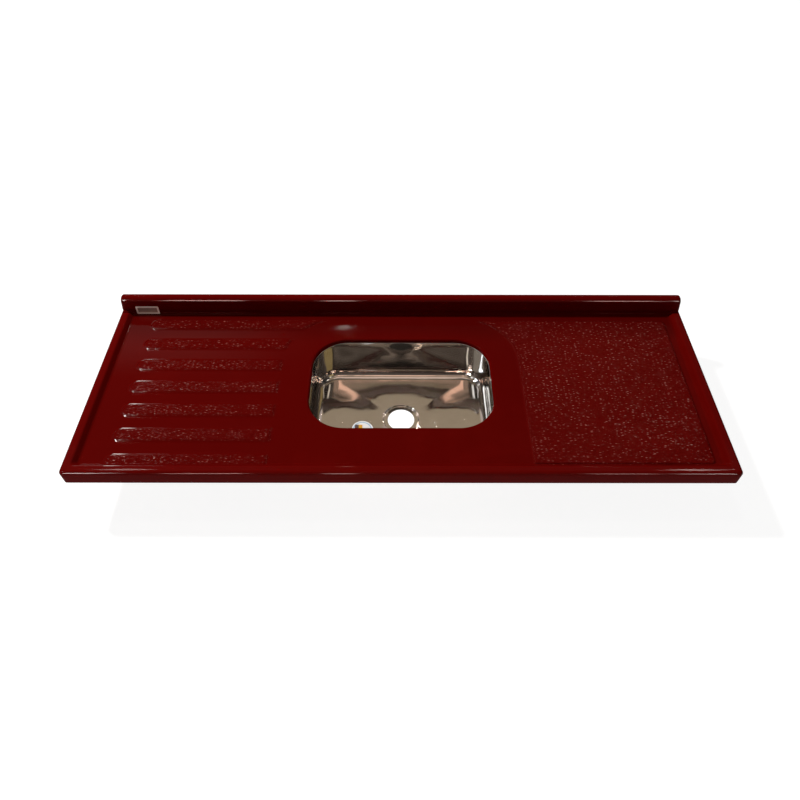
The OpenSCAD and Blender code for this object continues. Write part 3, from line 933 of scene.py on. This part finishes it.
# Battens. Six planed softwood strips bonded under the deck, two along it and four across it.
# They stiffen the casting and give the cabinet something to screw to.
def timber_finish(name, along):
    finish = Finish(bpy.data.materials.new(name))
    inputs = {"Vector": finish.place(), "Scale": along}
    squeezed = finish.node("ShaderNodeMapping", inputs=inputs)
    rings = finish.grain(14.0, 3.0, 0.5, squeezed, 0.6)
    fibres = finish.grain(110.0, 4.0, 0.7, squeezed)
    bands = (rings * 60.0).sine() * 0.5 + 0.5
    tone = finish.blend(bands, paint(166, 128, 84), paint(196, 160, 112))
    tone = finish.blend(fibres.ramp(0.35, 0.7, 0.0, 0.6), tone, paint(148, 108, 66))
    return finish.surface(Base_Color=tone, Roughness=fibres.ramp(0.3, 0.7, 0.55, 0.8),
                          Normal=finish.relief(fibres * (0.1 * MM)))


lengthwise = timber_finish("softwood_lengthwise", (0.06, 1.0, 1.0))
crosswise = timber_finish("softwood_crosswise", (1.0, 0.06, 1.0))
for node in ("front_batten", "rear_batten"):
    wear(node, lengthwise)
for node in ("left_end_batten", "right_end_batten", "left_bowl_batten", "right_bowl_batten"):
    wear(node, crosswise)


# Label plate. A thin aluminium plate with a plain sunk field, on a foam pad, low on the left of
# the backsplash. Its lower edge bridges the cove.
label_left, label_right = left + 40 * MM, left + 101 * MM
label_low, label_high = wet_z + 2 * MM, wet_z + 26 * MM
label_t, label_border, label_sink, label_r = (v * MM for v in (1.0, 4.5, 0.3, 2.5))


def rounded_outline(width, height, radius):
    """Points round a rectangle with round corners."""
    points = []
    for k, (sx, sy) in enumerate(((1, 1), (-1, 1), (-1, -1), (1, -1))):
        centre = (sx * (width / 2 - radius), sy * (height / 2 - radius))
        points += arc(centre, radius, 90 * k, 90 * k + 90, 6)
    return points


def label_finish():
    finish = Finish(bpy.data.materials.new("label_aluminium"))
    inputs = {"Vector": finish.place(), "Scale": (0.05, 1.0, 1.0)}
    brushed = finish.grain(900.0, 3.0, 0.6, finish.node("ShaderNodeMapping", inputs=inputs))
    border = finish.blend(brushed, paint(232, 212, 200), paint(246, 230, 220))
    field = finish.blend(brushed, paint(128, 108, 96), paint(152, 132, 120))
    return finish.surface(Base_Color=finish.blend(finish.mask("field"), border, field),
                          Roughness=brushed.ramp(0.3, 0.7, 0.4, 0.55),
                          Normal=finish.relief(brushed * (0.01 * MM)))


def label_mesh():
    width, height = label_right - label_left, label_high - label_low
    across = (label_left + label_right) / 2
    face, cove_face = wall - splash_t - 0.3 * MM, wall - splash_t - 2.4 * MM
    corners, faces, field = [], [], []

    def ring(inset, out, sunk):
        start = len(corners)
        for x, z in rounded_outline(width - 2 * inset, height - 2 * inset, label_r - inset * 0.5):
            share = z / height + 0.5
            corners.append((across + x, cove_face + (face - cove_face) * share - out,
                            label_low + share * height))
            field.append(sunk)
        return list(range(start, len(corners)))

    rings = [ring(0, 0, 0.0), ring(0, label_t, 0.0), ring(label_border, label_t, 0.0),
             ring(label_border + 0.3 * MM, label_t - label_sink, 1.0)]
    for first, second in zip(rings, rings[1:]):
        join_rings(faces, first, second)
    faces += [tuple(rings[0][::-1]), tuple(rings[-1])]
    return corners, faces, field


corners, faces, field = label_mesh()
label = new_piece("label_plate", corners, faces, label_finish())
label.data.attributes.new("field", "FLOAT", "POINT").data.foreach_set("value", field)
shade(label)
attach(label, "root")


# Sticker. A round paper sticker, stuck to the bowl's floor to the left of the waste and in front
# of it, with a thin pale-blue ring and two blocks of colour. It follows the dished floor.
sticker_r, sticker_t, sticker_lift = 28 * MM, 0.15 * MM, 0.05 * MM
sticker_x, sticker_y = -100 * MM, bowl_y - 38.5 * MM


def foot_reach(x, y):
    """Distance from the middle of the bowl to the foot of its walls, in this direction."""
    u, v = abs(x) / math.hypot(x, y), abs(y) / math.hypot(x, y)
    half_w, half_d, radius = bowl_w / 2 - foot_in, bowl_d / 2 - foot_in, bowl_corner_r - foot_in
    cx, cy = half_w - radius, half_d - radius
    if v * half_w < u * cy:
        return half_w / u
    if u * half_d < v * cx:
        return half_d / v
    along = u * cx + v * cy
    return along + math.sqrt(along**2 - cx**2 - cy**2 + radius**2)


def floor_height(x, y):
    """Height of the dished floor under this point."""
    away, foot = math.hypot(x, y - bowl_y), foot_reach(x, y - bowl_y)
    return floor_z - dish_drop((foot - away) / (foot - seat_r))


def sticker_finish():
    finish = Finish(bpy.data.materials.new("sticker_paper"))
    to_right, to_wall, _ = finish.axes(finish.place())
    across, deep = to_right - sticker_x, to_wall - sticker_y
    away = (across * across + deep * deep) ** 0.5
    fibres = finish.grain(700.0, 3.0, 0.6)
    tone = finish.blend(fibres, paint(222, 224, 226), paint(238, 239, 240))
    ring = away.between(22 * MM, 24.5 * MM, 0.6 * MM)
    tone = finish.blend(ring, tone, paint(164, 190, 214))
    band = deep.between(-10 * MM, 15 * MM, 0.5 * MM)
    dark_block = across.between(-20 * MM, -10 * MM, 0.5 * MM) * band
    tone = finish.blend(dark_block, tone, paint(74, 60, 58))
    amber_block = across.between(-10 * MM, -1 * MM, 0.5 * MM) * band
    tone = finish.blend(amber_block, tone, paint(214, 158, 46))
    return finish.surface(Base_Color=tone, Roughness=fibres.ramp(0.3, 0.7, 0.3, 0.45),
                          Normal=finish.relief(fibres * (0.01 * MM)))


def sticker_mesh():
    """A disc a little off the floor, in rings round its middle: its upper face, then its lower."""
    sides, rings = 48, 7
    corners, faces = [], []
    for lift in (sticker_lift + sticker_t, sticker_lift):
        corners.append((sticker_x, sticker_y, floor_height(sticker_x, sticker_y) + lift))
        for i in range(1, rings + 1):
            for x, y in arc((sticker_x, sticker_y), sticker_r * i / rings, 0, 360, sides)[:-1]:
                corners.append((x, y, floor_height(x, y) + lift))
    layer = len(corners) // 2
    edges = []
    for middle in (0, layer):
        made = [range(middle + 1 + i * sides, middle + 1 + (i + 1) * sides) for i in range(rings)]
        faces += [(middle, made[0][k], made[0][(k + 1) % sides]) for k in range(sides)]
        for inner, outer in zip(made, made[1:]):
            join_rings(faces, inner, outer)
        edges.append(made[-1])
    join_rings(faces, *edges)
    return corners, faces


corners, faces = sticker_mesh()
sticker = new_piece("round_sticker", corners, faces, sticker_finish())
shade(sticker)
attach(sticker, "root")
